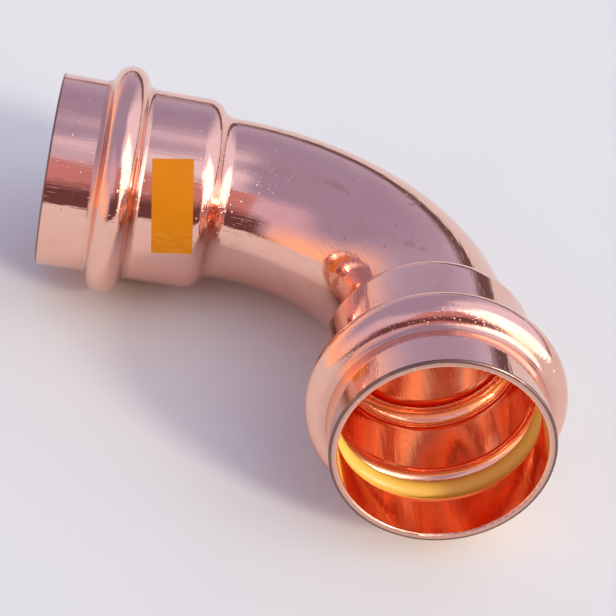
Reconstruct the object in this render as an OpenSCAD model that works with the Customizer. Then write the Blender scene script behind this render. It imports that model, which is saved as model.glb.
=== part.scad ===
// Copper press elbow: a bent tube with a beaded press socket at each end, a seal ring in each bead and a
// sleeve label. It lies as it comes to rest, on both beads and on the outside of the bend.

/* [Sockets] */
// Outside diameter of the pipe that the sockets take
pipe_d = 28; // [22:0.5:35]
// Gap between the pipe and the socket's bore, measured on the radius
pipe_gap = 0.2; // [0.1:0.05:0.3]
// Thickness of the formed copper wall
wall = 1.2; // [0.9:0.1:1.5]
// Length of the straight socket, from the mouth to the start of the shoulder
socket_len = 23.4; // [20:0.2:30]
// Rounding of the mouth's inner and outer edges
rim_r = 0.3; // [0.1:0.05:0.4]

/* [Bead and seal ring] */
// Distance from the mouth to the middle of the bead
bead_at = 10.8; // [9:0.2:13]
// Thickness of the seal ring's round section
ring_section = 3.1; // [2.6:0.1:3.8]
// Gap between the seal ring and its groove
ring_gap = 0.1; // [0.05:0.05:0.2]
// Outside radius of the hollow at each foot of the bead
bead_foot_r = 1.2; // [0.5:0.1:1.4]

/* [Shoulder and bend] */
// How far the bent tube is set in from the socket, measured on the radius
tube_inset = 2.4; // [1.6:0.1:3]
// Outside radius of the shoulder's crown, next to the socket
crown_r = 3.2; // [2.4:0.1:5]
// Outside radius of the shoulder's root, next to the tube
root_r = 2.6; // [2:0.1:5]
// Straight tube between each shoulder and the bend
tube_stub = 0.3; // [0.2:0.1:10]
// Radius of the bend's centre line
bend_r = 30.7; // [24:0.1:45]

/* [Label] */
// Width of the label, along the socket
label_w = 6.3; // [4:0.1:7]
// Length of the label, around the socket
label_len = 15.4; // [8:0.2:24]
// Thickness of the label
label_t = 0.1; // [0.06:0.02:0.2]
// Thickness of the adhesive between the label and the copper
label_glue = 0.02; // [0.01:0.01:0.05]
// How far the label's middle is from the middle of the straight sleeve, towards the bend
label_shift = 0.6; // [-0.6:0.1:0.6]
// Angle of the label's middle above the elbow's plane
label_turn = 18.3; // [-40:0.1:60]
// Angle by which the label was stuck on askew
label_skew = 8.5; // [-10:0.5:10]

/* [Hidden] */
$fn = 96;

copper = [0.72, 0.45, 0.37];
seal_yellow = [0.85, 0.62, 0.16];
label_yellow = [0.9, 0.58, 0.06];

// How far cutting shapes run past the faces that they cut
overcut = 1;

// Step to which the lengths worked out below are rounded, and how far the arcs and lines of the socket's
// outline run into each other, so that they always join
fine_step = 0.001;
merge = 2 * fine_step;

// Radii of the socket's bore, of its outside and of the bent tube
bore_r = pipe_d / 2 + pipe_gap;
sleeve_r = bore_r + wall;
tube_r = sleeve_r - tube_inset;

// The seal ring's inside just meets the pipe, and the bead is formed around the ring with an even wall
ring_r = pipe_d / 2 + ring_section / 2;
bead_r = ring_section / 2 + ring_gap + wall;

// Each foot's arc touches the sleeve and the bead: how far along the socket its centre is from the bead's
foot_run = rounded(sqrt(pow(bead_r + bead_foot_r, 2) - pow(sleeve_r + bead_foot_r - ring_r, 2)));

// The crown's and the root's arcs meet at this slope, which fixes the shoulder's length
shoulder_slope = acos(1 - tube_inset / (crown_r + root_r));
shoulder_len = rounded((crown_r + root_r) * sin(shoulder_slope));
shoulder_end = socket_len + shoulder_len;

// Distance from the crossing of the two axes to each mouth
leg = shoulder_end + tube_stub + bend_r;

// The tilt at which both beads and the bend's outside touch one plane
bead_dist = leg - bead_at;
belly_arm = bead_dist / sqrt(2) - (sqrt(2) - 1) * bend_r;
belly_drop = bead_r - tube_r;
tilt_scale = pow(belly_arm, 2) + pow(ring_r, 2) / 2;
tilt_root = sqrt(pow(belly_arm * belly_drop, 2) - tilt_scale * (pow(belly_drop, 2) - pow(ring_r, 2)));
tilt = asin((belly_arm * belly_drop + tilt_root) / tilt_scale);

// The resting plane lies this far below the crossing of the two axes
floor_drop = tube_r - (sqrt(2) - 1) * bend_r * sin(tilt);

// Reach of the resting elbow to each side: from the front bead to the left mouth, and the same the other way
along = [(1 + cos(tilt)) / 2, -(1 - cos(tilt)) / 2];
bead_reach = -bead_dist * along[1] + ring_r * sqrt(1 - pow(along[1], 2)) + bead_r;
mouth_reach = (leg - rim_r) * along[0] + (sleeve_r - rim_r) * sqrt(1 - pow(along[0], 2)) + rim_r;
side_shift = (mouth_reach - bead_reach) / 2;

// Distance from the mouth to the label's middle, and half of the label's width straight across
label_at = (bead_at + foot_run + socket_len) / 2 + label_shift;
label_half = sleeve_r * sin(label_len / sleeve_r / 2 * 180 / PI);

function rounded(length) = round(length / fine_step) * fine_step;

module disc(middle, r) {
    translate(middle)
        circle(r);
}

// What lies between the axis and a hollow arc, from the line start-middle to the arc's end at middle's height
module under_hollow(start, middle, r) {
    difference() {
        polygon([[0, start[1]], start, middle, [0, middle[1]]]);
        disc(middle, r);
    }
}

// A straight stretch of the profile from one distance along the axis to another
module stretch(r, from, to) {
    translate([0, from])
        square([r, to - from]);
}

// Half section of the socket, filled to its axis and set in from the outer surface: x is the radius and
// y the distance from the mouth
module socket_profile(inset, from, to) {
    bead_mid = [ring_r, bead_at];
    crown_mid = [sleeve_r - crown_r, socket_len];
    root_mid = [tube_r + root_r, shoulder_end];
    stretch(sleeve_r - inset, from, socket_len);
    disc(bead_mid, bead_r - inset);
    for (foot_mid = [for (side = [-1, 1]) [sleeve_r + bead_foot_r, bead_at + side * foot_run]])
        under_hollow(bead_mid, foot_mid, bead_foot_r + inset + merge);
    disc(crown_mid, crown_r - inset + merge);
    under_hollow(crown_mid, root_mid, root_r + inset + merge);
    stretch(tube_r - inset, socket_len, to);
}

// The sharp corner that a rounding takes off the mouth, on the outer side or on the inner one
module rim_corner(r, side) {
    translate([r, 0])
        scale([side, 1])
            difference() {
                translate([-rim_r, -overcut])
                    square([rim_r + overcut, rim_r + overcut]);
                translate([-rim_r, rim_r])
                    circle(rim_r);
                translate([-rim_r, -overcut])
                    square([rim_r, overcut]);
            }
}

// One press socket with its shoulder, along +Z from the mouth
module socket() {
    rotate_extrude()
        difference() {
            socket_profile(0, 0, shoulder_end + tube_stub);
            socket_profile(wall, -overcut, shoulder_end + tube_stub + overcut);
            rim_corner(sleeve_r, 1);
            rim_corner(bore_r, -1);
        }
}

module bend() {
    translate([-bend_r, -bend_r, 0])
        rotate_extrude(angle = 90)
            translate([bend_r, 0])
                difference() {
                    circle(tube_r);
                    circle(tube_r - wall);
                }
}

module seal_ring() {
    rotate_extrude()
        translate([ring_r, bead_at])
            circle(ring_section / 2);
}

// Puts what is drawn along +Z from a mouth onto the left leg or the front leg
module on_left_leg() {
    translate([-leg, 0, 0])
        rotate([0, 90, 0])
            children();
}

module on_front_leg() {
    translate([0, -leg, 0])
        rotate([-90, 0, 0])
            children();
}

// Lays the elbow on the floor, centred over the origin
module lying() {
    translate([side_shift, side_shift, floor_drop])
        rotate(a = tilt, v = [-1, 1, 0])
            children();
}

module elbow_body() {
    color(copper)
        lying() {
            on_left_leg()
                socket();
            on_front_leg()
                socket();
            bend();
        }
}

module o_ring_left() {
    color(seal_yellow)
        lying()
            on_left_leg()
                seal_ring();
}

module o_ring_front() {
    color(seal_yellow)
        lying()
            on_front_leg()
                seal_ring();
}

// The label follows the socket's outer surface and is cut out by a rectangle seen along the radius
module sleeve_label() {
    color(label_yellow)
        lying()
            on_left_leg()
                intersection() {
                    rotate_extrude()
                        difference() {
                            socket_profile(-label_glue - label_t, 0, shoulder_end + tube_stub);
                            socket_profile(-label_glue, -overcut, shoulder_end + tube_stub + overcut);
                        }
                    rotate([0, 0, -90 - label_turn])
                        translate([0, 0, label_at])
                            rotate([label_skew, 0, 0])
                                translate([0, -label_half, -label_w / 2])
                                    cube([2 * sleeve_r, 2 * label_half, label_w]);
                }
}

elbow_body();
o_ring_left();
o_ring_front();
sleeve_label();
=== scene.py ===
"""A copper press elbow with its seal rings and label, lying on a pale floor in soft light."""

import math

import bpy
from mathutils import Matrix, Vector


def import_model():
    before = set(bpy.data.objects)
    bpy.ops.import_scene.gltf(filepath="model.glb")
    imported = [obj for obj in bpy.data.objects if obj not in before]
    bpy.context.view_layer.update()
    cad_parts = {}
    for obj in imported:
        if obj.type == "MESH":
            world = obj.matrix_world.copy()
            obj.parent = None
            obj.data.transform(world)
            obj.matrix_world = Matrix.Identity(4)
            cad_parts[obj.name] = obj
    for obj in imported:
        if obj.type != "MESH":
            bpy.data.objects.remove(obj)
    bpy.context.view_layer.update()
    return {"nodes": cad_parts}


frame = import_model()

MM = 0.001

# Where the elbow lies, in millimetres and degrees: the crossing of its two axes and its tilt about the
# line between the legs
CROSSING = (20.852, 20.852, 9.932)
TILT = 13.962

# The elbow's sizes in millimetres: the bend's centre line and tube; along each straight leg, from the
# bend, the bead's middle, the run from there to each of its feet, and the mouth
BEND_R = 30.7
TUBE_R = 13.0
BEAD_AT = 17.6
FOOT_RUN = 3.3
LEG_LEN = 28.4

# Brown smears and small pits on the bend: how far along the bend from its front end in millimetres, and
# the angle around the tube from the bend's outer side in degrees; then the smears' half sizes along and
# across the tube
SMEARS = (
    ((27.5, 116.0), (3.2, 0.7)),
    ((15.9, 89.0), (0.4, 0.9)),
    ((5.7, 111.0), (1.5, 1.0)),
    ((3.4, 102.4), (0.9, 0.9)),
)
PITS = ((17.1, 143.0), (11.8, 112.0), (7.5, 126.0))
PIT_R = 0.22

# The share of a spot's size within which it is full, and how far a smear's edge strays inwards and
# outwards
SPOT_CORE = 0.6
RAGGED_EDGE = (-0.35, 0.35)

# Noise on the copper: its size along the tube and across it in millimetres, the finer layers added to
# it and, where it isn't the usual one, their strength. The turned lines' size is along the radius.
COPPER_NOISE = {
    "cloud": ((22.0, 12.0), 3.0),
    "film": ((9.0, 5.0), 4.0, 0.6),
    "lines": ((5.0, 0.45), 2.0),
    "rings": ((0.35, 9.0), 2.0),
    "waves": ((16.0, 16.0), 1.0),
    "grain": ((0.35, 0.2), 2.0),
    "scratch": ((6.0, 0.16), 1.0),
    "cross_scratch": ((0.14, 4.0), 1.0),
    "ragged": ((1.6, 0.9), 3.0),
    "turned": ((0.3, 1.0), 3.0),
}

# The values of its noise between which a mark starts to show and is full. The dust, the oxide, the shade
# and the roughness go by the clouds.
SHOWS = {
    "film": (0.5, 0.72),
    "scratch": (0.69, 0.76),
    "cross_scratch": (0.76, 0.82),
    "dust": (0.4, 0.6),
    "ragged": (0.3, 0.7),
    "oxide": (0.3, 0.6),
    "turned": (0.4, 0.6),
    "shade": (0.35, 0.7),
    "rough": (0.3, 0.7),
}

# How far the cross scratches lean, for each step upwards
CROSS_LEAN = 0.4

# Dots on the copper and on the rings: the size of the cells they lie in and their radius in
# millimetres, and the share of the cells that have one
SPECK_DOTS = (1.7, 0.22, 0.35)
DUST_DOTS = (0.6, 0.14, 0.35)
SEAL_DOTS = (1.3, 0.12, 0.4)

# Half the width and the soft edge, in millimetres, of the oxide at the bead's feet and of the rings'
# parting line
FOOT_BAND = (0.3, 0.5)
PARTING_BAND = (0.03, 0.06)

# How much of the oxide shows in the hollows, from thin to thick
OXIDE_SHARE = (0.15, 0.5)

# The mouth's turned face: how far before the end it starts and is full, and the distances from the axis
# between which its outer edge gets painted shade, in millimetres; then how much of that painted shade is
# left under tarnish
MOUTH_FACE = (0.4, 0.2)
RIM_PAINTED_SHADE = (14.85, 15.05)
RIM_SHADE_UNDER_TARNISH = 0.6

# How far the surface faces outwards: the values between which the inside starts, and half the width and
# the soft edge of the mouth's flat face
INSIDE_FROM = (0.0, -0.2)
FLAT_FACE = (0.25, 0.15)

# The copper's colours in linear light, and how strongly each mark shows in them
COPPER_OUTSIDE = ((0.95, 0.565, 0.44), (0.92, 0.53, 0.42))
# The inside's copper is redder partly from real oxidation and partly as a painted reflection of the light
# glowing between its walls
COPPER_INSIDE_OXIDE_AND_PAINTED_GLOW = ((0.99, 0.58, 0.41), (0.98, 0.52, 0.34))
TARNISH = (0.84, 0.46, 0.36)
OXIDE = (0.66, 0.34, 0.25)
TURNED = (0.42, 0.22, 0.17)
SMEAR = (0.76, 0.36, 0.27)
SPECK = (0.98, 0.86, 0.80)
# This dark colour serves the pits and the painted shade along the mouth's outer edge
DARK_PIT_AND_RIM_SHADE = (0.14, 0.08, 0.07)
FILM_SHARE = 0.5
SMEAR_SHARE = 0.6
TURNED_SHARES = {"cut": 0.1, "cut_lines": 0.45}
PIT_AND_RIM_SHADE_SHARES = {"pits": 0.7, "painted_rim_shade": 0.85}

# The clean copper's roughness, from bright to dull, and what each mark adds to it
COPPER_ROUGHNESS = (0.045, 0.075)
COPPER_ROUGHER = {"film": 0.05, "scratches": 0.12, "stains_and_rim_shade": 0.2, "cut": 0.12, "dirt": 0.4, "inside": 0.04}

# The height of each mark on the copper in millimetres
COPPER_HEIGHTS = {
    "waves": 0.05,
    "lines": 0.016,
    "rings": 0.003,
    "grain": 0.002,
    "scratch": -0.008,
    "cross_scratch": -0.008,
    "specks": 0.03,
    "dust": 0.03,
    "cut_lines": -0.02,
    "pits": -0.05,
}

# The rings' rubber: its noise as for the copper, its colours, its roughness and the heights of its
# marks
SEAL_NOISE = ((6.0, 6.0), 3.0)
SEAL_COLOURS = ((0.90, 0.57, 0.08), (0.95, 0.67, 0.13))
SEAL_DUST = (0.90, 0.78, 0.50)
SEAL_DUST_SHARE = 0.5
SEAL_ROUGHNESS = (0.35, 0.5)
SEAL_HEIGHTS = {"parting": 0.03, "dust": 0.01, "cloud": 0.02}

# The label: how high above the elbow's plane the rubbing starts and is full, in millimetres; its noise
# and scuffs as for the copper; how much is rubbed where it starts and at the low end; its colours,
# roughness, specular level and heights
RUBBED_FROM = (4.9, -2.5)
LABEL_NOISE = ((3.0, 3.0), 4.0)
SCUFF_NOISE = ((1.6, 0.9), 5.0, 0.65)
SCUFF_SHOWS = (0.42, 0.72)
RUBBED_SHARE = (0.04, 0.32)
LABEL_COLOURS = ((0.56, 0.183, 0.002), (0.60, 0.204, 0.003))
LABEL_RUBBED = (0.72, 0.36, 0.08)
LABEL_ROUGHNESS = (0.4, 0.5)
RUBBED_ROUGHER = 0.3
LABEL_SPECULAR = 0.1
LABEL_HEIGHTS = {"cloud": 0.01, "rubbed": 0.01}

# The floor: half its width in metres, its noise's size in millimetres, its colours and its matt finish
FLOOR_HALF = 2.0
FLOOR_NOISE = (30.0, 30.0)
FLOOR_COLOURS = ((0.78, 0.815, 0.75), (0.80, 0.835, 0.77))
FLOOR_ROUGHNESS = 0.8
FLOOR_SPECULAR = 0.0

# The camera: the point it looks at in millimetres; the bearing it looks along, how far down it looks and
# its roll, in degrees; its distance, lens and sensor in millimetres, and the nearest thing it sees in
# metres
AIM = (3.831, -7.240, 18.0)
BEARING = 2.163
LOOK_DOWN = 43.113
ROLL = 2.852
DISTANCE = 234.77
LENS = 92.69
SENSOR = 36.0
CLIP_START = 0.01

# The sky near the floor and overhead, and the height at which it has changed. All bearings, half angles
# and heights of the surroundings are in degrees.
SKY_LOW = (0.53, 0.545, 0.81)
SKY_HIGH = (0.385, 0.38, 0.62)
SKY_CHANGE = 40

# The haze and the dark line above the floor's edge, all round: the heights between which each fades
# upwards, and its colour
HORIZON = (
    ((2, 12), (0.60, 0.52, 0.62)),
    ((1, 4), (0.20, 0.11, 0.11)),
)

# The plain surroundings that the metal mirrors, first those that fade softly and then those with uneven
# edges: the middle's bearing, the half angles at which a patch starts to fade and has gone, the heights
# between which it fades upwards, and its colour
SOFT_SURROUNDINGS = (
    (190, (35, 85), (46, 64), (0.70, 0.60, 0.83)),
    (100, (40, 85), (70, 88), (0.90, 0.90, 1.15)),
)
SURROUNDINGS = (
    (125, (22, 36), (54, 66), (1.9, 1.95, 2.1)),
    (140, (12, 17), (36, 48), (2.0, 1.9, 1.75)),
    (-88, (28, 75), (5, 34), (1.20, 0.76, 0.52)),
    (25, (12, 26), (6, 13), (0.15, 0.10, 0.11)),
    (171, (10, 26), (49, 56), (0.60, 0.31, 0.34)),
    (180, (12, 36), (17, 33), (0.15, 0.07, 0.08)),
)

# How far the uneven edges stray, as a share of the distance, how many waves they have and their finer
# layers
STRAY = 0.12
STRAY_WAVES = 7.0
STRAY_LAYERS = 3.0
NOISE_MIDDLE = 0.5

# The far lamp: where its light comes from as a bearing and a height, how wide it looks in degrees, its
# strength and its colour
KEY_FROM = (133, 28)
KEY_WIDTH = 10.4
KEY_STRENGTH = 1.7
KEY_COLOUR = (1.0, 0.91, 0.80)

# How often light is followed from metal to metal, for the deep colour inside the tube
BOUNCES = 16

# The places of the colours among the sockets of Blender's mix node, whose names are shared with others
MIX_COLOURS = slice(6, 8)
MIX_RESULT = 2


def direction(bearing, height):
    """The unit vector of a bearing, clockwise from +Y, and an angle above the floor, both in degrees."""
    around = math.radians(bearing)
    up = math.radians(height)
    return Vector((math.sin(around) * math.cos(up), math.cos(around) * math.cos(up), math.sin(up)))


class Nodes:
    """A node tree with short ways to add nodes: an input is a number, a colour or another node's output."""

    def __init__(self, tree):
        self.tree = tree
        tree.nodes.clear()

    def set(self, socket, value):
        if isinstance(value, bpy.types.NodeSocket):
            self.tree.links.new(value, socket)
        else:
            socket.default_value = value

    def add(self, kind, inputs=None, **settings):
        node = self.tree.nodes.new(kind)
        for name, value in settings.items():
            setattr(node, name, value)
        for name, value in (inputs or {}).items():
            self.set(node.inputs[name], value)
        return node

    def math(self, operation, *values):
        return self.add("ShaderNodeMath", dict(enumerate(values)), operation=operation).outputs[0]

    def product(self, first, *others):
        for other in others:
            first = self.math("MULTIPLY", first, other)
        return first

    def total(self, first, *others):
        for other in others:
            first = self.math("ADD", first, other)
        return first

    def weighted(self, marks, weights):
        """The sum of the marks that have a weight, each times its weight."""
        return self.total(*(self.product(marks[name], weight) for name, weight in weights.items()))

    def vector(self, operation, *values):
        node = self.add("ShaderNodeVectorMath", dict(enumerate(values)), operation=operation)
        return node.outputs["Value" if operation in ("DOT_PRODUCT", "LENGTH") else "Vector"]

    def join(self, **parts):
        """A vector of the given parts X, Y and Z."""
        return self.add("ShaderNodeCombineXYZ", parts).outputs["Vector"]

    def split(self, place):
        return self.add("ShaderNodeSeparateXYZ", {0: place}).outputs

    def between(self, value, low, high, to_low=0.0, to_high=1.0):
        """The value's smooth course from low to high, given as to_low to to_high."""
        node = self.add(
            "ShaderNodeMapRange",
            {"Value": value, "From Min": low, "From Max": high, "To Min": to_low, "To Max": to_high},
            interpolation_type="SMOOTHSTEP",
        )
        return node.outputs["Result"]

    def band(self, value, middle, half, soft):
        """1 where the value is within half of the middle, fading to 0 over soft."""
        off = self.math("ABSOLUTE", self.math("SUBTRACT", value, middle))
        return self.between(off, half + soft, half)

    def mix(self, share, first, second):
        node = self.add("ShaderNodeMix", data_type="RGBA")
        self.set(node.inputs["Factor"], share)
        for socket, value in zip(node.inputs[MIX_COLOURS], (first, second)):
            self.set(socket, (*value, 1.0) if isinstance(value, tuple) else value)
        return node.outputs[MIX_RESULT]

    def scaled(self, place, size):
        """A place counted in steps of the given sizes in millimetres: along the tube and across it."""
        long, across = (1 / (s * MM) for s in size)
        return self.vector("MULTIPLY", place, (long, across, across))

    def noise(self, place, size, layers=2.0, strength=0.5):
        node = self.add(
            "ShaderNodeTexNoise",
            {"Vector": self.scaled(place, size), "Scale": 1.0, "Detail": layers, "Roughness": strength},
        )
        return node.outputs["Fac"]

    def dots(self, place, spacing, radius, share):
        """Small round dots at random places, on a share of the cells that the spacing sets."""
        cells = self.scaled(place, (spacing, spacing))
        node = self.add("ShaderNodeTexVoronoi", {"Vector": cells, "Scale": 1.0})
        chosen = self.math("LESS_THAN", self.split(node.outputs["Color"])["X"], share)
        return self.product(chosen, self.between(node.outputs["Distance"], radius / spacing, 0.0))

    def spot(self, place, middle, size, ragged=None):
        """1 in an oval spot of the given half sizes along and across the tube, fading at its edge."""
        along, around = middle
        angle = math.radians(around)
        centre = (along * MM, TUBE_R * MM * math.cos(angle), TUBE_R * MM * math.sin(angle))
        off = self.vector("LENGTH", self.scaled(self.vector("SUBTRACT", place, centre), size))
        if ragged:
            off = self.total(off, ragged)
        return self.between(off, 1.0, SPOT_CORE)

    def surface(self, constants, colour, roughness, height=None):
        """Ends a material with a shader of these constants, colour, roughness and height in millimetres."""
        inputs = {"Base Color": colour, "Roughness": roughness, **constants}
        if height:
            bump = self.add("ShaderNodeBump", {"Height": height, "Strength": 1.0, "Distance": MM})
            inputs["Normal"] = bump.outputs["Normal"]
        shader = self.add("ShaderNodeBsdfPrincipled", inputs)
        out = self.add("ShaderNodeOutputMaterial")
        self.tree.links.new(shader.outputs["BSDF"], out.inputs["Surface"])


def material(name):
    made = bpy.data.materials.new(name)
    made.use_nodes = True
    return made, Nodes(made.node_tree)


def straightened(n):
    """A point's place if the bent tube were straight, along it from the bend's front end and across it, in
    metres. Then its distance along the leg from the bend, its distance from the centre line, and how far the
    surface there faces outwards, from -1 to 1."""
    turn = {"Axis": (-1.0, 1.0, 0.0), "Angle": -math.radians(TILT)}
    bend_r = BEND_R * MM
    nothing = (0.0, 0.0, 0.0)
    crossing = tuple(c * MM for c in CROSSING)
    place = n.vector("SUBTRACT", n.add("ShaderNodeTexCoord").outputs["Object"], crossing)
    place = n.add("ShaderNodeVectorRotate", {"Vector": place, **turn}).outputs["Vector"]
    normal = n.add("ShaderNodeNewGeometry").outputs["Normal"]
    normal = n.add("ShaderNodeVectorRotate", {"Vector": normal, **turn}).outputs["Vector"]
    from_pivot = n.vector("ADD", place, (bend_r, bend_r, 0.0))
    in_bend = n.vector("MULTIPLY", n.vector("MAXIMUM", from_pivot, nothing), (1.0, 1.0, 0.0))
    in_leg = n.split(n.vector("MINIMUM", from_pivot, nothing))
    outward = n.vector("NORMALIZE", in_bend)
    along = n.math("ABSOLUTE", n.total(in_leg["X"], in_leg["Y"]))
    sweep = n.math("ARCTAN2", n.split(in_bend)["Y"], n.split(in_bend)["X"])
    axial = n.total(n.product(sweep, bend_r), n.math("SUBTRACT", in_leg["Y"], in_leg["X"]))
    upright = n.split(place)["Z"]
    sideways = n.math("SUBTRACT", n.vector("LENGTH", in_bend), bend_r)
    straight = n.join(X=axial, Y=sideways, Z=upright)
    cross = n.join(X=sideways, Y=upright)
    normal_cross = n.join(X=n.vector("DOT_PRODUCT", normal, outward), Y=n.split(normal)["Z"])
    facing = n.vector("DOT_PRODUCT", n.vector("NORMALIZE", cross), normal_cross)
    radius = n.vector("LENGTH", cross)
    return straight, along, radius, facing


def copper_material():
    made, n = material("bright_copper")
    straight, along, radius, facing = straightened(n)
    inside = n.between(facing, *INSIDE_FROM)
    outside = n.math("SUBTRACT", 1.0, inside)

    def noise(name, place=straight):
        return n.noise(place, *COPPER_NOISE[name])

    def shown(name, place=straight):
        return n.between(noise(name, place), *SHOWS[name])

    # Marks from drawing and forming: clouds of thin tarnish, lengthwise lines, fine scratches and specks
    cloud = noise("cloud")
    film = shown("film")
    scratch = shown("scratch")
    axial, sideways, upright = n.split(straight)
    leaning = n.join(X=n.total(axial, n.product(upright, CROSS_LEAN)), Y=sideways, Z=upright)
    cross_scratch = shown("cross_scratch", leaning)
    specks = n.product(n.dots(straight, *SPECK_DOTS), outside)
    dust = n.product(n.dots(straight, *DUST_DOTS), n.between(cloud, *SHOWS["dust"]))
    pits = n.total(*(n.spot(straight, pit, (PIT_R, PIT_R)) for pit in PITS))
    ragged = n.between(noise("ragged"), *SHOWS["ragged"], *RAGGED_EDGE)
    smears = n.total(*(n.spot(straight, middle, size, ragged) for middle, size in SMEARS))

    # Oxide in the hollows beside the bead, the turned face of the mouth and painted shade along its outer
    # edge
    foot_half, foot_soft = (size * MM for size in FOOT_BAND)
    feet = ((BEAD_AT + side * FOOT_RUN) * MM for side in (-1, 1))
    foot = n.total(*(n.band(along, middle, foot_half, foot_soft) for middle in feet))
    foot = n.product(foot, outside, n.between(cloud, *SHOWS["oxide"], *OXIDE_SHARE))
    mouth = n.between(along, *((LEG_LEN - before) * MM for before in MOUTH_FACE))
    edge = n.between(radius, *(r * MM for r in RIM_PAINTED_SHADE))
    # Painted shade along the outer edge of the mouth's face, weaker under tarnish
    painted_rim_shade = n.product(mouth, edge, n.between(film, 0.0, 1.0, 1.0, RIM_SHADE_UNDER_TARNISH))
    cut = n.product(mouth, n.band(facing, 0.0, *FLAT_FACE))
    cut_lines = n.product(cut, shown("turned", n.join(X=radius)))

    marks = {
        "film": film,
        "lines": noise("lines"),
        "rings": noise("rings"),
        "waves": noise("waves"),
        "grain": noise("grain"),
        "scratch": scratch,
        "cross_scratch": cross_scratch,
        "scratches": n.total(scratch, cross_scratch),
        "specks": specks,
        "dust": dust,
        "dirt": n.total(specks, dust),
        "pits": pits,
        "painted_rim_shade": painted_rim_shade,
        "stains_and_rim_shade": n.total(smears, painted_rim_shade, foot),
        "cut": cut,
        "cut_lines": cut_lines,
        "inside": inside,
    }
    outer = n.mix(n.between(cloud, *SHOWS["shade"]), *COPPER_OUTSIDE)
    outer = n.mix(n.product(film, FILM_SHARE), outer, TARNISH)
    # The inside gets its redder colour, partly real oxidation and partly painted glow of the light passing
    # between the copper walls
    colour = n.mix(inside, outer, n.mix(cloud, *COPPER_INSIDE_OXIDE_AND_PAINTED_GLOW))
    colour = n.mix(foot, colour, OXIDE)
    colour = n.mix(n.weighted(marks, TURNED_SHARES), colour, TURNED)
    colour = n.mix(n.product(smears, SMEAR_SHARE), colour, SMEAR)
    colour = n.mix(specks, colour, SPECK)
    # Dark pits, and painted shade along the mouth's outer edge
    colour = n.mix(n.weighted(marks, PIT_AND_RIM_SHADE_SHARES), colour, DARK_PIT_AND_RIM_SHADE)
    clean = n.between(cloud, *SHOWS["rough"], *COPPER_ROUGHNESS)
    roughness = n.total(clean, n.weighted(marks, COPPER_ROUGHER))
    n.surface({"Metallic": 1.0}, colour, roughness, n.weighted(marks, COPPER_HEIGHTS))
    return made


def seal_material():
    made, n = material("yellow_rubber")
    straight, along, _, _ = straightened(n)
    marks = {
        "cloud": n.noise(straight, *SEAL_NOISE),
        "dust": n.dots(straight, *SEAL_DOTS),
        "parting": n.band(along, BEAD_AT * MM, *(size * MM for size in PARTING_BAND)),
    }
    colour = n.mix(marks["cloud"], *SEAL_COLOURS)
    colour = n.mix(n.product(marks["dust"], SEAL_DUST_SHARE), colour, SEAL_DUST)
    roughness = n.between(marks["cloud"], *SHOWS["rough"], *SEAL_ROUGHNESS)
    n.surface({}, colour, roughness, n.weighted(marks, SEAL_HEIGHTS))
    return made


def label_material():
    made, n = material("orange_label")
    straight, _, _, _ = straightened(n)
    cloud = n.noise(straight, *LABEL_NOISE)
    scuffs = n.between(n.noise(straight, *SCUFF_NOISE), *SCUFF_SHOWS)
    low_end = n.between(n.split(straight)["Z"], *(z * MM for z in RUBBED_FROM))
    rubbed = n.product(scuffs, n.between(low_end, 0.0, 1.0, *RUBBED_SHARE))
    colour = n.mix(rubbed, n.mix(cloud, *LABEL_COLOURS), LABEL_RUBBED)
    roughness = n.between(cloud, *SHOWS["rough"], *LABEL_ROUGHNESS)
    roughness = n.total(roughness, n.product(rubbed, RUBBED_ROUGHER))
    height = n.weighted({"cloud": cloud, "rubbed": rubbed}, LABEL_HEIGHTS)
    n.surface({"Specular IOR Level": LABEL_SPECULAR}, colour, roughness, height)
    return made


def dress(node, made):
    slots = frame["nodes"][node].data.materials
    slots.clear()
    slots.append(made)


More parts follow.
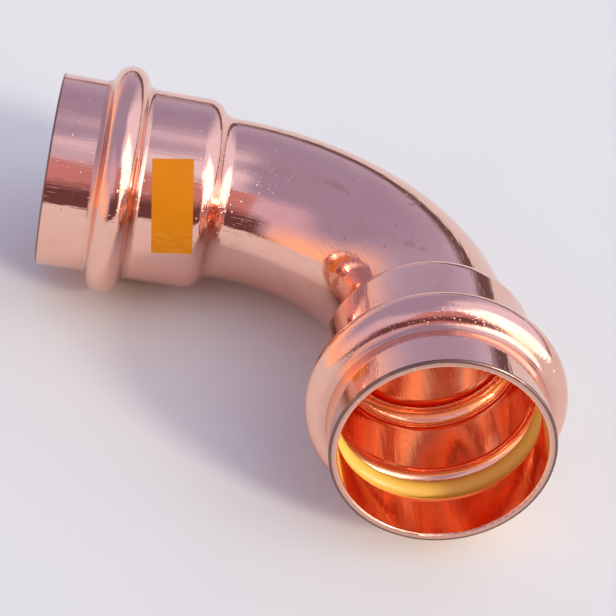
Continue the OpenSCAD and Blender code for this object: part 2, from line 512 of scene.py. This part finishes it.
def world():
    made = bpy.data.worlds.new("soft_studio")
    made.use_nodes = True
    bpy.context.scene.world = made
    n = Nodes(made.node_tree)
    towards = n.add("ShaderNodeTexCoord").outputs["Generated"]
    waves = {"Vector": towards, "Scale": STRAY_WAVES, "Detail": STRAY_LAYERS}
    stray = n.add("ShaderNodeTexNoise", waves).outputs["Color"]
    stray = n.vector("MULTIPLY", n.vector("SUBTRACT", stray, (NOISE_MIDDLE,) * 3), (STRAY,) * 3)
    strayed = n.vector("NORMALIZE", n.vector("ADD", towards, stray))

    def below(place, heights):
        low, high = (math.sin(math.radians(angle)) for angle in heights)
        return n.between(n.split(place)["Z"], low, high, 1.0, 0.0)

    def within(place, bearing, reach):
        level = n.vector("NORMALIZE", n.vector("MULTIPLY", place, (1, 1, 0)))
        facing = n.vector("DOT_PRODUCT", level, direction(bearing, 0))
        return n.between(facing, *(math.cos(math.radians(angle)) for angle in reversed(reach)))

    colour = n.mix(below(towards, (0, SKY_CHANGE)), SKY_HIGH, SKY_LOW)
    for bearing, reach, heights, shade in SOFT_SURROUNDINGS:
        colour = n.mix(n.product(within(towards, bearing, reach), below(towards, heights)), colour, shade)
    for heights, shade in HORIZON:
        colour = n.mix(below(towards, heights), colour, shade)
    for bearing, reach, heights, shade in SURROUNDINGS:
        colour = n.mix(n.product(within(strayed, bearing, reach), below(strayed, heights)), colour, shade)
    background = n.add("ShaderNodeBackground", {"Color": colour, "Strength": 1.0})
    out = n.add("ShaderNodeOutputWorld")
    n.tree.links.new(background.outputs[0], out.inputs["Surface"])


def key_lamp():
    made = bpy.data.lights.new("key", "SUN")
    made.angle = math.radians(KEY_WIDTH)
    made.energy = KEY_STRENGTH
    made.color = KEY_COLOUR
    holder = bpy.data.objects.new("key", made)
    bpy.context.scene.collection.objects.link(holder)
    holder.rotation_mode = "QUATERNION"
    holder.rotation_quaternion = direction(*KEY_FROM).to_track_quat("Z", "Y")


def floor():
    mesh = bpy.data.meshes.new("floor")
    corners = [(x * FLOOR_HALF, y * FLOOR_HALF, 0) for x, y in ((-1, -1), (1, -1), (1, 1), (-1, 1))]
    mesh.from_pydata(corners, [], [(0, 1, 2, 3)])
    made = bpy.data.objects.new("floor", mesh)
    bpy.context.scene.collection.objects.link(made)
    paper, n = material("pale_paper")
    place = n.add("ShaderNodeTexCoord").outputs["Object"]
    colour = n.mix(n.noise(place, FLOOR_NOISE), *FLOOR_COLOURS)
    n.surface({"Specular IOR Level": FLOOR_SPECULAR}, colour, FLOOR_ROUGHNESS)
    mesh.materials.append(paper)


def camera():
    made = bpy.data.cameras.new("camera")
    made.lens = LENS
    made.sensor_width = SENSOR
    made.clip_start = CLIP_START
    eye = bpy.data.objects.new("camera", made)
    bpy.context.scene.collection.objects.link(eye)
    forward = direction(BEARING, -LOOK_DOWN)
    place = Matrix.Translation(Vector(AIM) * MM - forward * DISTANCE * MM)
    look = (-forward).to_track_quat("Z", "Y").to_matrix().to_4x4()
    eye.matrix_world = place @ look @ Matrix.Rotation(math.radians(ROLL), 4, "Z")
    bpy.context.scene.camera = eye


bpy.context.scene.view_settings.view_transform = "Standard"
bpy.context.scene.cycles.glossy_bounces = BOUNCES
bpy.context.scene.cycles.max_bounces = BOUNCES
dress("elbow_body", copper_material())
seal = seal_material()
for ring in ("o_ring_left", "o_ring_front"):
    dress(ring, seal)
dress("sleeve_label", label_material())
world()
key_lamp()
floor()
camera()
